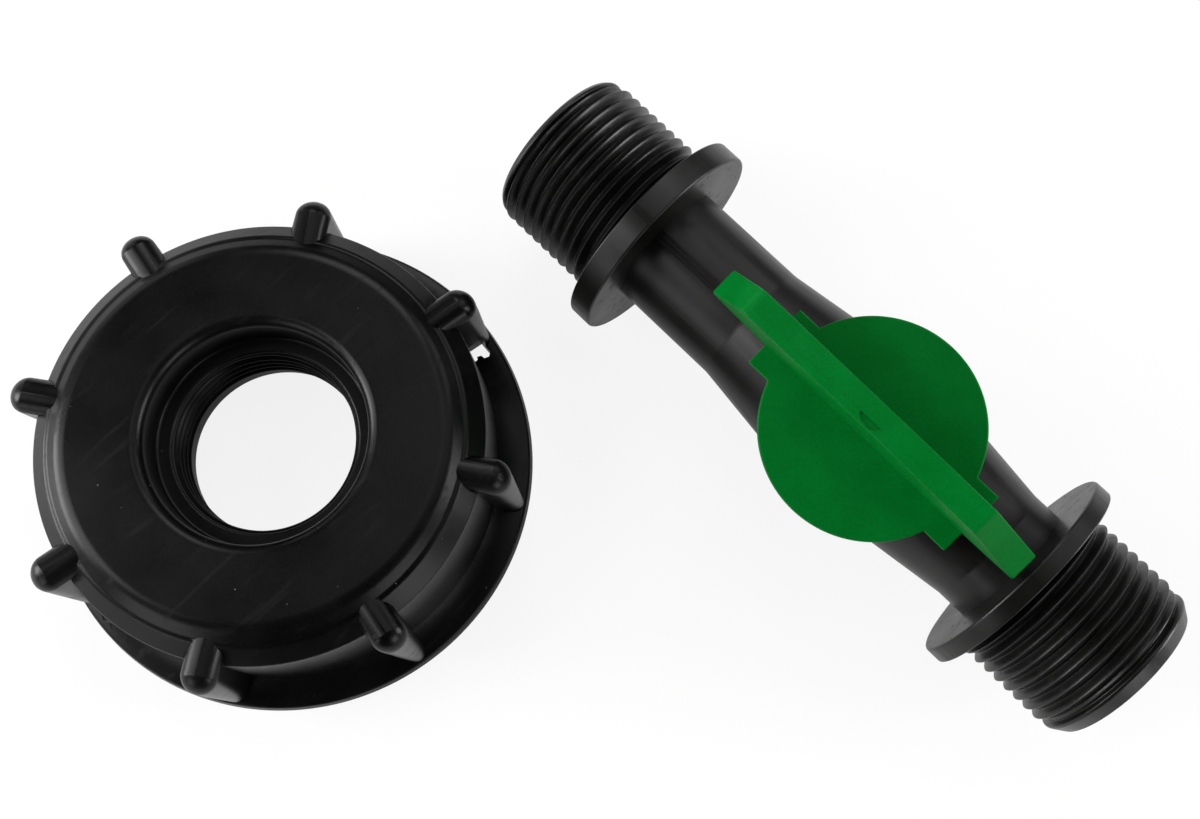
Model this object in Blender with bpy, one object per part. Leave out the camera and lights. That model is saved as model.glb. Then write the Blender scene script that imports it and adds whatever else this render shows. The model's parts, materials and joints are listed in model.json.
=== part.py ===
# Small-bore plug valve for the outlet of an IBC tank, with its loose threaded adapter cap.
#
# The valve lies on its two round collars and leans over until the foot of its barrel meets
# the ground. The adapter cap stands beside it on its flange. Metres, +Z up, ground at z = 0.

import math

import bmesh
import bpy
from mathutils import Matrix, Vector

for old in list(bpy.data.objects):
    bpy.data.objects.remove(old, do_unlink=True)

mm = 0.001

# Clearances
touch_gap = 0.3 * mm          # between pieces that touch
cut_margin = 2.0 * mm         # how far a cutter runs past what it cuts

# Threaded ends, both 3/4 inch pipe thread
thread_radius = 13.2 * mm
thread_lead_in_radius = 12.3 * mm
thread_lead_in_length = 1.8 * mm
thread_lead_in_chamfer = 0.3 * mm
inlet_thread_length = 19.3 * mm
outlet_thread_length = 18.5 * mm
end_bore_radius = 9.6 * mm
end_bore_depth = 12.0 * mm
end_bore_taper = 6.0 * mm
end_bore_chamfer = 0.6 * mm

# Collars that the mating fittings tighten against
collar_radius = 16.8 * mm
inlet_collar_width = 3.5 * mm
outlet_collar_width = 2.9 * mm
collar_edge = 0.5 * mm
inlet_collar_distance = 41.2 * mm     # stem axis to the collar's inner face
outlet_collar_distance = 27.1 * mm

# Tube and the barrel that holds the plug
tube_radius = 9.67 * mm
tube_fillet = 0.4 * mm
flow_radius = 7.2 * mm
flare_radius = 11.6 * mm
flare_start = 23.2 * mm
flare_end = 8.0 * mm
barrel_radius = 15.2 * mm
barrel_top = 11.6 * mm
barrel_foot = 13.55 * mm
barrel_edge = 0.5 * mm

# Plug, which turns in the barrel, moulded in one with the handle
plug_radius = 11.7 * mm
o_ring_thickness = 1.5 * mm
o_ring_height = 9.9 * mm              # of each ring's middle, above and below the flow axis
o_ring_groove_width = 1.9 * mm
lip_height = 1.25 * mm
lip_overlap = 1.2 * mm

# Seat seals round the two ports
seat_wall = 1.2 * mm
seat_depth = 1.4 * mm                 # into the barrel's wall

# Quarter-turn stop: a key under the disc in a groove in the barrel's rim
turn_angle = math.radians(90)
key_angle = math.radians(22)
key_radius = 13.6 * mm
key_width = 0.8 * mm
key_height = 1.7 * mm
key_clearance = math.radians(2)

# Handle
disc_radius = 15.4 * mm
disc_thickness = 1.8 * mm
disc_edge = 0.25 * mm
pointer_half_length = 18.25 * mm
pointer_half_width = 5.05 * mm
blade_inlet_reach = 28.1 * mm         # stem axis to the tip
blade_outlet_reach = 26.4 * mm
blade_inlet_shoulder = 21.9 * mm      # stem axis to the end of the crown
blade_outlet_shoulder = 17.9 * mm
blade_crown = 15.0 * mm               # above the disc, at the middle
blade_shoulder_drop = 0.4 * mm
blade_corner = 0.6 * mm
blade_tip_rise = 3.6 * mm             # top of the tip above the disc
blade_tip_depth = 2.3 * mm
blade_foot_width = 4.3 * mm
blade_top_width = 3.9 * mm

# Adapter cap: coarse 60 mm thread below, 3/4 inch thread in the middle
cap_x = -60.36 * mm                   # from the valve's stem axis
cap_y = -63.0 * mm
cap_height = 25.1 * mm
cap_edge_radius = 31.95 * mm          # at the top of the wall
cap_wall_draft = 0.65 * mm            # what the wall widens by down to its foot
cap_shoulder_width = 4.65 * mm        # from that edge up to the flat top
cap_shoulder_drop = 3.9 * mm
cap_flat_rounding = 1.4 * mm          # length of the rounding on each side of the flat's edge
cap_wall = 2.6 * mm
cap_plate_thickness = 3.1 * mm
flange_reach = 5.2 * mm               # past the wall's foot
flange_rim = 1.5 * mm
flange_rise = 6.4 * mm
recess_radius = 15.6 * mm
recess_depth = 6.6 * mm
recess_lip = 1.8 * mm
recess_wall = 2.9 * mm
bore_radius = 12.75 * mm
bore_chamfer = 0.55 * mm
bore_foot_relief = 0.55 * mm          # the bore is wider below its thread
bore_foot_length = 2.5 * mm
boss_wall = 2.7 * mm
boss_foot = 7.0 * mm

# Lugs round the cap
lug_count = 8
lug_angle = math.radians(35)
lug_width = 4.5 * mm
lug_crest_drop = 0.9 * mm             # from the cap's flat top
lug_crest_margin = 2.3 * mm           # nose of the crest inside the flange's rim
lug_foot_margin = 0.5 * mm
lug_foot_taper = 4.6 * mm             # length of the pointed foot

# Two windows through the flange, each beside one of two opposite lugs
window_lug = 1
window_wall_gap = 0.7 * mm
window_rim_gap = 1.4 * mm
window_width = 2.6 * mm

# Gasket under the cap's plate
gasket_inner = 19.6 * mm
gasket_thickness = 2.4 * mm

# Facets
fine = 64
medium = 40
coarse = 8

# Worked out from the sizes above
bore_in_barrel = plug_radius + touch_gap
inlet_end = -(inlet_collar_distance + inlet_collar_width + inlet_thread_length)
outlet_end = outlet_collar_distance + outlet_collar_width + outlet_thread_length
cap_flat_radius = cap_edge_radius - cap_shoulder_width
cap_edge_height = cap_height - cap_shoulder_drop
cap_foot_radius = cap_edge_radius + cap_wall_draft
flange_radius = cap_foot_radius + flange_reach
disc_base = barrel_top + touch_gap
disc_top = disc_base + disc_thickness
seat_outer = flow_radius + touch_gap + seat_wall
seat_end = bore_in_barrel + seat_depth
lip_room = lip_height + touch_gap
lip_radius = plug_radius + lip_overlap
foot_corner = barrel_radius - barrel_edge

# The valve rolls about its flow axis until the barrel's foot meets the ground
lean = (math.asin(min(1.0, collar_radius / math.hypot(foot_corner, barrel_foot)))
        - math.atan2(barrel_foot, foot_corner))


def rolled(across, up):
    """Where a point of the valve's cross-section comes to lie, seen along the flow axis."""
    return (across * math.cos(lean) - up * math.sin(lean),
            collar_radius + across * math.sin(lean) + up * math.cos(lean))


# The part's origin is the middle of its footprint
far_side = max(collar_radius,
               rolled(barrel_radius, barrel_edge - barrel_foot)[0],
               rolled(foot_corner, -barrel_foot)[0])
lowest_x = min(inlet_end, cap_x - flange_radius)
highest_x = max(outlet_end, cap_x + flange_radius)
valve_x = -(lowest_x + highest_x) / 2
valve_y = -(cap_y - flange_radius + far_side) / 2


def plastic(name, colour, roughness):
    made = bpy.data.materials.new(name)
    made.use_nodes = True
    shader = made.node_tree.nodes["Principled BSDF"]
    shader.inputs["Base Color"].default_value = (*colour, 1.0)
    shader.inputs["Roughness"].default_value = roughness
    shader.inputs["Metallic"].default_value = 0.0
    return made


def add_object(name, form, parent, finish=None):
    """Turn a bmesh into an object, shaded smooth apart from its sharp edges."""
    bmesh.ops.recalc_face_normals(form, faces=form.faces)
    mesh = bpy.data.meshes.new(name)
    form.to_mesh(mesh)
    form.free()
    mesh.shade_smooth()
    mesh.set_sharp_from_angle(angle=math.radians(35))
    made = bpy.data.objects.new(name, mesh)
    bpy.context.collection.objects.link(made)
    made.parent = parent
    if finish is not None:
        mesh.materials.append(finish)
    return made


def turned(outline, steps, axis="Z"):
    """Spin a closed outline of (along, radius) pairs round the Z or the X axis."""
    form = bmesh.new()
    if axis == "Z":
        ring = [form.verts.new((radius, 0.0, along)) for along, radius in outline]
    else:
        ring = [form.verts.new((along, 0.0, radius)) for along, radius in outline]
    edges = [form.edges.new((ring[i - 1], ring[i])) for i in range(len(ring))]
    bmesh.ops.spin(form, geom=ring + edges, cent=(0, 0, 0), dvec=(0, 0, 0),
                   axis=(0, 0, 1) if axis == "Z" else (1, 0, 0),
                   angle=math.tau, steps=steps, use_merge=True)
    bmesh.ops.remove_doubles(form, verts=form.verts, dist=1e-7)
    bmesh.ops.dissolve_degenerate(form, edges=form.edges, dist=1e-7)
    return form


def lofted(rings):
    """Skin a stack of equal-length point rings and cap both ends."""
    form = bmesh.new()
    rows = [[form.verts.new(point) for point in ring] for ring in rings]
    for low, high in zip(rows, rows[1:]):
        for i in range(len(low)):
            form.faces.new((low[i - 1], low[i], high[i], high[i - 1]))
    form.faces.new(rows[0])
    form.faces.new(rows[-1])
    return form


def block(low, high):
    corners = [(low[0], low[1]), (high[0], low[1]), (high[0], high[1]), (low[0], high[1])]
    return lofted([[(x, y, z) for x, y in corners] for z in (low[2], high[2])])


def tool(name, form, parent):
    """A form that only cuts or adds to another one."""
    made = add_object(name, form, parent)
    made.hide_render = True
    made.display_type = "WIRE"
    return made


def combine(target, other, operation):
    step = target.modifiers.new(other.name, "BOOLEAN")
    step.operation = operation
    step.solver = "EXACT"
    step.object = other


def arc_block(inner, outer, low, high, start, sweep, steps):
    """A sector of a ring, from the angle start through the angle sweep."""
    rings = []
    for i in range(steps + 1):
        angle = start + sweep * i / steps
        along = Vector((math.cos(angle), math.sin(angle), 0.0))
        up = Vector((0.0, 0.0, 1.0))
        rings.append([along * inner + up * low, along * outer + up * low,
                      along * outer + up * high, along * inner + up * high])
    return lofted(rings)


black = plastic("black_polypropylene", (0.012, 0.012, 0.012), 0.36)
green = plastic("green_acetal", (0.01, 0.33, 0.1), 0.34)
rubber = plastic("black_nitrile_rubber", (0.008, 0.008, 0.008), 0.62)

# The valve's frame: origin where the stem axis crosses the flow axis, +X towards the outlet
valve_frame = bpy.data.objects.new("valve_frame", None)
bpy.context.collection.objects.link(valve_frame)
valve_frame.location = (valve_x, valve_y, collar_radius)
valve_frame.rotation_euler = (lean, 0.0, 0.0)

# The cap's frame: on the ground, +Z along its threads
cap_frame = bpy.data.objects.new("cap_frame", None)
bpy.context.collection.objects.link(cap_frame)
cap_frame.location = (valve_x + cap_x, valve_y + cap_y, 0.0)
cap_frame.rotation_euler = (0.0, 0.0, lug_angle)


def threaded_end(collar_distance, collar_width, thread_length, side):
    """Half of the body's outline, from the tube out to the open end."""
    inner = collar_distance
    outer = inner + collar_width
    end = outer + thread_length
    crest_end = end - thread_lead_in_length
    half = [
        (inner - tube_fillet, tube_radius),
        (inner - tube_fillet * 0.3, tube_radius + tube_fillet * 0.3),
        (inner, tube_radius + tube_fillet),
        (inner, collar_radius - collar_edge),
        (inner + collar_edge * 0.3, collar_radius - collar_edge * 0.3),
        (inner + collar_edge, collar_radius),
        (outer - collar_edge * 0.4, collar_radius),
        (outer, collar_radius - collar_edge * 0.4),
        (outer, thread_radius),
        (crest_end, thread_radius),
        (crest_end + (thread_radius - thread_lead_in_radius), thread_lead_in_radius),
        (end - thread_lead_in_chamfer, thread_lead_in_radius),
        (end, thread_lead_in_radius - thread_lead_in_chamfer),
        (end, 0.0),
    ]
    return [(side * along, radius) for along, radius in half]


def end_bore(end, side):
    """Outline of the wide bore inside one threaded end, down to the axis."""
    mouth = abs(end)
    half = [
        (mouth + cut_margin, 0.0),
        (mouth + cut_margin, end_bore_radius + end_bore_chamfer),
        (mouth, end_bore_radius + end_bore_chamfer),
        (mouth - end_bore_chamfer, end_bore_radius),
        (mouth - end_bore_depth, end_bore_radius),
        (mouth - end_bore_depth - end_bore_taper, flow_radius),
    ]
    return [(side * along, radius) for along, radius in half]


# Valve body: turned outline, upright barrel, then the bores
flare = [(-flare_start, tube_radius), (-flare_end, flare_radius),
         (flare_end, flare_radius), (flare_start, tube_radius)]
inlet_half = threaded_end(inlet_collar_distance, inlet_collar_width, inlet_thread_length, -1)
outlet_half = threaded_end(outlet_collar_distance, outlet_collar_width, outlet_thread_length, 1)
body_outline = list(reversed(inlet_half)) + flare + outlet_half
valve_body = add_object("valve_body", turned(body_outline, medium, "X"), valve_frame, black)

barrel_outline = [
    (barrel_top, 0.0),
    (barrel_top, barrel_radius - barrel_edge * 0.5),
    (barrel_top - barrel_edge * 0.5, barrel_radius),
    (barrel_edge - barrel_foot, barrel_radius),
    (-barrel_foot, foot_corner),
    (-barrel_foot, 0.0),
]
combine(valve_body, tool("barrel", turned(barrel_outline, medium), valve_frame), "UNION")

# Bore for the plug, wider at the foot where the plug's lip snaps out
plug_bore_outline = [
    (barrel_top + cut_margin, 0.0),
    (barrel_top + cut_margin, bore_in_barrel),
    (lip_room - barrel_foot, bore_in_barrel),
    (lip_room - barrel_foot, lip_radius + touch_gap),
    (-barrel_foot - cut_margin, lip_radius + touch_gap),
    (-barrel_foot - cut_margin, 0.0),
]
combine(valve_body, tool("plug_bore", turned(plug_bore_outline, medium), valve_frame),
        "DIFFERENCE")

flow_outline = end_bore(inlet_end, -1) + list(reversed(end_bore(outlet_end, 1)))
combine(valve_body, tool("flow_bore", turned(flow_outline, medium, "X"), valve_frame),
        "DIFFERENCE")

seat_outline = [(-seat_end - touch_gap, 0.0), (-seat_end - touch_gap, seat_outer + touch_gap),
                (seat_end + touch_gap, seat_outer + touch_gap), (seat_end + touch_gap, 0.0)]
combine(valve_body, tool("seat_pockets", turned(seat_outline, medium, "X"), valve_frame),
        "DIFFERENCE")

# Groove in the barrel's rim that lets the key turn a quarter, clockwise from above
groove_start = math.radians(180) - turn_angle - key_angle / 2 - key_clearance
groove_sweep = turn_angle + key_angle + 2 * key_clearance
stop_groove = arc_block(key_radius - key_width / 2 - touch_gap,
                        key_radius + key_width / 2 + touch_gap,
                        disc_base - key_height - touch_gap, barrel_top + cut_margin,
                        groove_start, groove_sweep, 16)
combine(valve_body, tool("stop_groove", stop_groove, valve_frame), "DIFFERENCE")

# Handle and plug in one piece
groove_floor = plug_radius - o_ring_thickness - 0.1 * mm
groove_half = o_ring_groove_width / 2
plug_top = [
    (disc_top, 0.0),
    (disc_top, disc_radius - disc_edge),
    (disc_top - disc_edge, disc_radius),
    (disc_base + disc_edge, disc_radius),
    (disc_base, disc_radius - disc_edge),
    (disc_base, plug_radius),
]
plug_outline = plug_top + [
    (o_ring_height + groove_half, plug_radius),
    (o_ring_height + groove_half, groove_floor),
    (o_ring_height - groove_half, groove_floor),
    (o_ring_height - groove_half, plug_radius),
    (-o_ring_height + groove_half, plug_radius),
    (-o_ring_height + groove_half, groove_floor),
    (-o_ring_height - groove_half, groove_floor),
    (-o_ring_height - groove_half, plug_radius),
    (lip_height - barrel_foot, plug_radius),
    (lip_height - barrel_foot, lip_radius),
    (lip_height * 0.5 - barrel_foot, lip_radius),
    (-barrel_foot, plug_radius),
    (-barrel_foot, 0.0),
]
plug_handle = add_object("plug_handle", turned(plug_outline, medium), valve_frame, green)

port_length = plug_radius + cut_margin
port_outline = [(-port_length, 0.0), (-port_length, flow_radius),
                (port_length, flow_radius), (port_length, 0.0)]
combine(plug_handle, tool("plug_port", turned(port_outline, medium, "X"), valve_frame),
        "DIFFERENCE")

pointer = block((-pointer_half_length, -pointer_half_width, disc_base),
                (pointer_half_length, pointer_half_width, disc_top))
combine(plug_handle, tool("pointer", pointer, valve_frame), "UNION")

stop_key = arc_block(key_radius - key_width / 2, key_radius + key_width / 2,
                     disc_base - key_height, disc_base + disc_thickness / 2,
                     math.radians(180) - key_angle / 2, key_angle, 4)
combine(plug_handle, tool("stop_key", stop_key, valve_frame), "UNION")

# Blade: its side view, thinning towards the top
blade_crown_height = disc_top + blade_crown
blade_base = disc_base + disc_thickness / 3
blade_tip_top = disc_top + blade_tip_rise
blade_tip_foot = blade_tip_top - blade_tip_depth


def blade_end(reach, shoulder, side):
    """Half of the blade's side view, from its foot round the tip up to the crown."""
    half = [
        (pointer_half_length - 1.0 * mm, blade_base),
        (reach - blade_tip_depth * 0.6, blade_tip_foot),
        (reach, blade_tip_foot + blade_corner * 0.7),
        (reach, blade_tip_top - blade_corner * 0.7),
        (reach - blade_corner * 0.5, blade_tip_top),
        (shoulder, blade_crown_height - blade_shoulder_drop - blade_corner),
        (shoulder - blade_corner, blade_crown_height - blade_shoulder_drop),
    ]
    return [(side * along, height) for along, height in half]


blade_side = (blade_end(blade_outlet_reach, blade_outlet_shoulder, 1)
              + [(0.0, blade_crown_height)]
              + list(reversed(blade_end(blade_inlet_reach, blade_inlet_shoulder, -1))))


def blade_half_width(height):
    share = (height - blade_base) / (blade_crown_height - blade_base)
    return (blade_foot_width + (blade_top_width - blade_foot_width) * share) / 2


blade = lofted([[(x, side * blade_half_width(z), z) for x, z in blade_side]
                for side in (-1, 1)])
combine(plug_handle, tool("blade", blade, valve_frame), "UNION")

# O-rings on the plug
ring_radius = plug_radius - o_ring_thickness / 2


def o_ring(name, height):
    section = [(height + o_ring_thickness / 2 * math.sin(math.tau * i / coarse),
                ring_radius + o_ring_thickness / 2 * math.cos(math.tau * i / coarse))
               for i in range(coarse)]
    return add_object(name, turned(section, medium), valve_frame, rubber)


o_ring("upper_o_ring", o_ring_height)
o_ring("lower_o_ring", -o_ring_height)

# Seat seals: short rings round the ports, hollowed to the plug's curve
plug_space = tool("plug_space", turned([(-barrel_foot, 0.0), (-barrel_foot, bore_in_barrel),
                                        (barrel_top, bore_in_barrel), (barrel_top, 0.0)],
                                       medium), valve_frame)


def seat_seal(name, side):
    outline = [(side * flow_radius, flow_radius + touch_gap),
               (side * flow_radius, seat_outer),
               (side * seat_end, seat_outer),
               (side * seat_end, flow_radius + touch_gap)]
    made = add_object(name, turned(outline, medium, "X"), valve_frame, rubber)
    combine(made, plug_space, "DIFFERENCE")
    return made


seat_seal("inlet_seat_seal", -1)
seat_seal("outlet_seat_seal", 1)


# Adapter cap: one turned outline, with the lugs added and the windows cut
def flange_curve(steps):
    """Hollow curve from the flange's rim up to the wall."""
    points = []
    for i in range(steps + 1):
        turn = math.radians(90) * i / steps
        radius = flange_radius - (flange_radius - cap_foot_radius) * math.sin(turn)
        height = flange_rise - (flange_rise - flange_rim) * math.cos(turn)
        points.append((height, radius))
    return points


def soft_corner(before, corner, after, length, steps):
    """Points of a curve that takes the place of an outline's corner."""
    middle = Vector(corner)
    start = middle + (Vector(before) - middle).normalized() * length
    end = middle + (Vector(after) - middle).normalized() * length
    points = []
    for i in range(steps + 1):
        t = i / steps
        points.append(tuple(start * (1 - t) ** 2 + middle * (2 * t * (1 - t)) + end * t ** 2))
    return points


plate_base = cap_height - cap_plate_thickness
recess_floor = cap_height - recess_depth
cavity_radius = cap_edge_radius - cap_wall
boss_radius = bore_radius + boss_wall
neck_radius = recess_radius + recess_wall
neck_foot = recess_floor - recess_wall
shoulder_foot = (cap_edge_height, cap_edge_radius - 0.1 * mm)
flat_edge = (cap_height, cap_flat_radius)
recess_edge = (cap_height, recess_radius)
recess_corner = (recess_floor, recess_radius)
cap_outline = ([(0.0, cavity_radius + 1.0 * mm), (0.0, flange_radius)]
               + flange_curve(7)
               + [(cap_edge_height - 0.4 * mm, cap_edge_radius), shoulder_foot]
               + soft_corner(shoulder_foot, flat_edge, recess_edge, cap_flat_rounding, 2)
               + soft_corner(flat_edge, recess_edge, recess_corner, recess_lip, 3)
               + [recess_corner,
                  (recess_floor, bore_radius + bore_chamfer),
                  (recess_floor - bore_chamfer, bore_radius),
                  (boss_foot + bore_foot_length + bore_foot_relief, bore_radius),
                  (boss_foot + bore_foot_length, bore_radius + bore_foot_relief),
                  (boss_foot, bore_radius + bore_foot_relief),
                  (boss_foot, boss_radius - 0.3 * mm),
                  (boss_foot + 0.3 * mm, boss_radius),
                  (neck_foot, boss_radius),
                  (neck_foot + 1.0 * mm, neck_radius - 0.4 * mm),
                  (neck_foot + 2.0 * mm, neck_radius),
                  (plate_base, neck_radius),
                  (plate_base, cavity_radius - 0.3 * mm),
                  (plate_base - 0.3 * mm, cavity_radius),
                  (1.0 * mm, cavity_radius)])
adapter_cap = add_object("adapter_cap", turned(cap_outline, fine), cap_frame, black)


def lug_ring(inner, reach, half_width, taper, height):
    """Outline of a lug at one level: straight sides, then a nose that is half an ellipse."""
    steps = 6
    ring = [Vector((inner, half_width, height))]
    for i in range(steps + 1):
        turn = math.radians(90) - math.radians(180) * i / steps
        ring.append(Vector((reach - taper + taper * math.cos(turn),
                            half_width * math.sin(turn), height)))
    ring.append(Vector((inner, -half_width, height)))
    return ring


# A lug's crest is a quarter circle in section, and its nose slopes out to a pointed foot
lug_half = lug_width / 2
lug_top = cap_height - lug_crest_drop
lug_side_top = lug_top - lug_half
lug_crest_reach = flange_radius - lug_crest_margin
wall_middle = cap_edge_radius - cap_wall / 2
lug_levels = [
    (wall_middle, flange_radius - lug_foot_margin, lug_half, lug_foot_taper, 0.6 * flange_rim),
    (wall_middle, lug_crest_reach, lug_half, lug_half, lug_side_top),
]
for turn in (30, 55, 78):
    share = math.cos(math.radians(turn))
    lug_levels.append((cap_flat_radius, lug_crest_reach - lug_half * (1 - share),
                       lug_half * share, lug_half * share,
                       lug_side_top + lug_half * math.sin(math.radians(turn))))
for i in range(lug_count):
    turn = Matrix.Rotation(math.tau * i / lug_count, 3, "Z")
    lug = lofted([[turn @ point for point in lug_ring(*level)] for level in lug_levels])
    combine(adapter_cap, tool(f"lug_{i + 1}", lug, cap_frame), "UNION")

window_axis = Vector((math.cos(math.tau * window_lug / lug_count),
                      math.sin(math.tau * window_lug / lug_count), 0.0))
window_side = Vector((window_axis.y, -window_axis.x, 0.0))
window_inner = cap_foot_radius + window_wall_gap
window_outer = flange_radius - window_rim_gap
for i, end in enumerate((1, -1)):
    low = window_axis * (end * window_inner) + window_side * (lug_half - 0.1 * mm)
    high = window_axis * (end * window_outer) + window_side * (lug_half + window_width)
    corners = [low, window_axis * (end * window_outer) + window_side * (lug_half - 0.1 * mm),
               high, window_axis * (end * window_inner) + window_side * (lug_half + window_width)]
    rings = [[corner + Vector((0.0, 0.0, height)) for corner in corners]
             for height in (-cut_margin, flange_rise + cut_margin)]
    combine(adapter_cap, tool(f"window_{i + 1}", lofted(rings), cap_frame), "DIFFERENCE")

# Gasket that seals the cap on the tank's outlet
gasket_top = plate_base - touch_gap
gasket_outer = cavity_radius - 1.1 * mm
gasket_outline = [
    (gasket_top, gasket_inner),
    (gasket_top, gasket_outer),
    (gasket_top - gasket_thickness, gasket_outer),
    (gasket_top - gasket_thickness, gasket_inner),
]
add_object("adapter_gasket", turned(gasket_outline, fine), cap_frame, rubber)
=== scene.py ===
import json
import math

import bmesh
import bpy
from mathutils import Matrix, Vector


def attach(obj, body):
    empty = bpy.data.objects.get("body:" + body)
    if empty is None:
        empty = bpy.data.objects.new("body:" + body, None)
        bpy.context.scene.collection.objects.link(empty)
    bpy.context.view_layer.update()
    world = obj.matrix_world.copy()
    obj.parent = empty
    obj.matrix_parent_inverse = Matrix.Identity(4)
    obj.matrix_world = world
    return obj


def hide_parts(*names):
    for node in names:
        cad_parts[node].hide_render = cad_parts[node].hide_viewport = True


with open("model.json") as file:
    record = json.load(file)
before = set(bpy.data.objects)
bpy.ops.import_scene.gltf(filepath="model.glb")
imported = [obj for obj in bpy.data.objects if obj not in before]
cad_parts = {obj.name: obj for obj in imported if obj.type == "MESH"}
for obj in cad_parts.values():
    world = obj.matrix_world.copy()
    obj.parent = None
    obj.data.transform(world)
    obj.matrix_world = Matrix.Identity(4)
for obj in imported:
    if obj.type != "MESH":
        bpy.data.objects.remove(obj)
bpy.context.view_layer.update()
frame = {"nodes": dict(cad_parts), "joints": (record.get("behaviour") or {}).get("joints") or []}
mm = 0.001
print("frame loaded")

joints = {joint["name"]: joint for joint in frame["joints"]}
stem = joints["handle_quarter_turn"]
stemAxis = -Vector(stem["axis"])
capTurn = math.radians(35)

# valve: origin where stem and flow axes cross, +X along the flow, +Z up the stem
valvePlace = (Matrix.Translation(stem["pos_m"])
              @ Matrix.Rotation(math.atan2(-stemAxis.y, stemAxis.z), 4, "X"))
# cap: origin on the ground under its thread axis, +X through a lug
capPlace = (Matrix.Translation(joints["cap_screw_turn"]["pos_m"])
            @ Matrix.Rotation(capTurn, 4, "Z"))


# node tools
def hexColour(text):
    parts = [int(text[i:i + 2], 16) / 255 for i in (1, 3, 5)]
    return [p / 12.92 if p <= 0.04045 else ((p + 0.055) / 1.055) ** 2.4 for p in parts] + [1.0]


def setInputs(tree, node, inputs):
    for name, value in inputs.items():
        if isinstance(value, bpy.types.NodeSocket):
            tree.links.new(value, node.inputs[name])
        else:
            node.inputs[name].default_value = value


def addNode(tree, kind, inputs=None, **settings):
    node = tree.nodes.new(kind)
    for name, value in settings.items():
        setattr(node, name, value)
    setInputs(tree, node, inputs or {})
    return node


def calc(tree, operation, *values):
    return addNode(tree, "ShaderNodeMath", dict(enumerate(values)), operation=operation).outputs[0]


def remap(tree, value, source, target=(0.0, 1.0), **settings):
    return addNode(tree, "ShaderNodeMapRange",
                   {"Value": value, "From Min": source[0], "From Max": source[1],
                    "To Min": target[0], "To Max": target[1]}, **settings).outputs[0]


def joinXYZ(tree, parts):
    return addNode(tree, "ShaderNodeCombineXYZ", parts).outputs[0]


def splitPosition(tree):
    position = addNode(tree, "GeometryNodeInputPosition").outputs[0]
    return addNode(tree, "ShaderNodeSeparateXYZ", {0: position}).outputs


def realizeAndPaint(tree, geometry, material):
    realized = addNode(tree, "GeometryNodeRealizeInstances", {0: geometry}).outputs[0]
    painted = addNode(tree, "GeometryNodeSetMaterial",
                      {"Geometry": realized, "Material": material}).outputs[0]
    addNode(tree, "NodeGroupOutput", {0: painted})


def newMaterial(name):
    material = bpy.data.materials.new(name)
    material.use_nodes = True
    tree = material.node_tree
    tree.nodes.clear()
    shader = addNode(tree, "ShaderNodeBsdfPrincipled")
    addNode(tree, "ShaderNodeOutputMaterial", {"Surface": shader.outputs[0]})
    return material, tree, shader


# materials
texture = {
    # the ranges of noise that turn into clouds, specks and rubs, the same in all
    "cloudDetail": 3.0, "grainDetail": 2.0, "rubDetail": 4.0, "mottleRange": (0.75, 1.25),
    "cloudRange": (0.3, 0.7), "speckChance": (0.8, 1.0), "rubRange": (0.58, 0.68),
    "rubDulling": 0.1,
}


def mouldedPlastic(name, look):
    material, tree, shader = newMaterial(name)
    place = addNode(tree, "ShaderNodeTexCoord").outputs["Object"]

    def noise(where, size, detail):
        return addNode(tree, "ShaderNodeTexNoise",
                       {"Vector": where, "Scale": 1 / size, "Detail": detail}).outputs[0]

    def blend(share, first, second):
        return addNode(tree, "ShaderNodeMix", {0: share, 6: first, 7: second},
                       data_type="RGBA").outputs[2]

    cloud = noise(place, look["cloudSize"], texture["cloudDetail"])
    grain = noise(place, look["grainSize"], texture["grainDetail"])
    mottle = remap(tree, calc(tree, "ADD", cloud, grain), texture["mottleRange"])
    tint = blend(mottle, hexColour(look["colour"]), hexColour(look["cloudColour"]))
    # dust: a few pale specks, one in some cells of a Voronoi pattern
    cells = addNode(tree, "ShaderNodeTexVoronoi",
                    {"Vector": place, "Scale": 1 / look["dustSpacing"]}).outputs
    chance = addNode(tree, "ShaderNodeSeparateColor", {0: cells["Color"]}).outputs[0]
    reach = remap(tree, chance, texture["speckChance"],
                  (0.0, look["dustSize"] / look["dustSpacing"]))
    speck = calc(tree, "LESS_THAN", cells["Distance"], reach)
    # fine rubs: long thin streaks that shine a little less
    stretched = addNode(tree, "ShaderNodeMapping",
                        {"Vector": place, "Scale": look["rubStretch"]}).outputs[0]
    rubs = remap(tree, noise(stretched, look["rubSize"], texture["rubDetail"]),
                 texture["rubRange"], (0.0, texture["rubDulling"]))
    gloss = remap(tree, cloud, texture["cloudRange"], look["roughness"])
    bump = addNode(tree, "ShaderNodeBump", {"Height": grain, "Strength": 1.0,
                                            "Distance": look["grainDepth"]}).outputs[0]
    setInputs(tree, shader, {
        "Base Color": blend(speck, tint, hexColour(look["dustColour"])),
        "Roughness": calc(tree, "ADD", gloss, rubs), "Normal": bump, "IOR": look["ior"],
        "Specular IOR Level": look["specular"]})
    return material


# polypropylene with carbon black, moulded in a fine-blasted tool: satin, near black
blackPolypropylene = mouldedPlastic("blackPolypropylene", {
    "colour": "#050504", "cloudColour": "#0b0a09", "roughness": (0.30, 0.38),
    "cloudSize": 9 * mm, "grainSize": 0.25 * mm, "grainDepth": 0.006 * mm,
    "dustSpacing": 2.5 * mm, "dustSize": 0.1 * mm, "dustColour": "#3a3835",
    "rubSize": 1.5 * mm, "rubStretch": (0.06, 1.0, 1.0), "ior": 1.49, "specular": 0.3})
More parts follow.
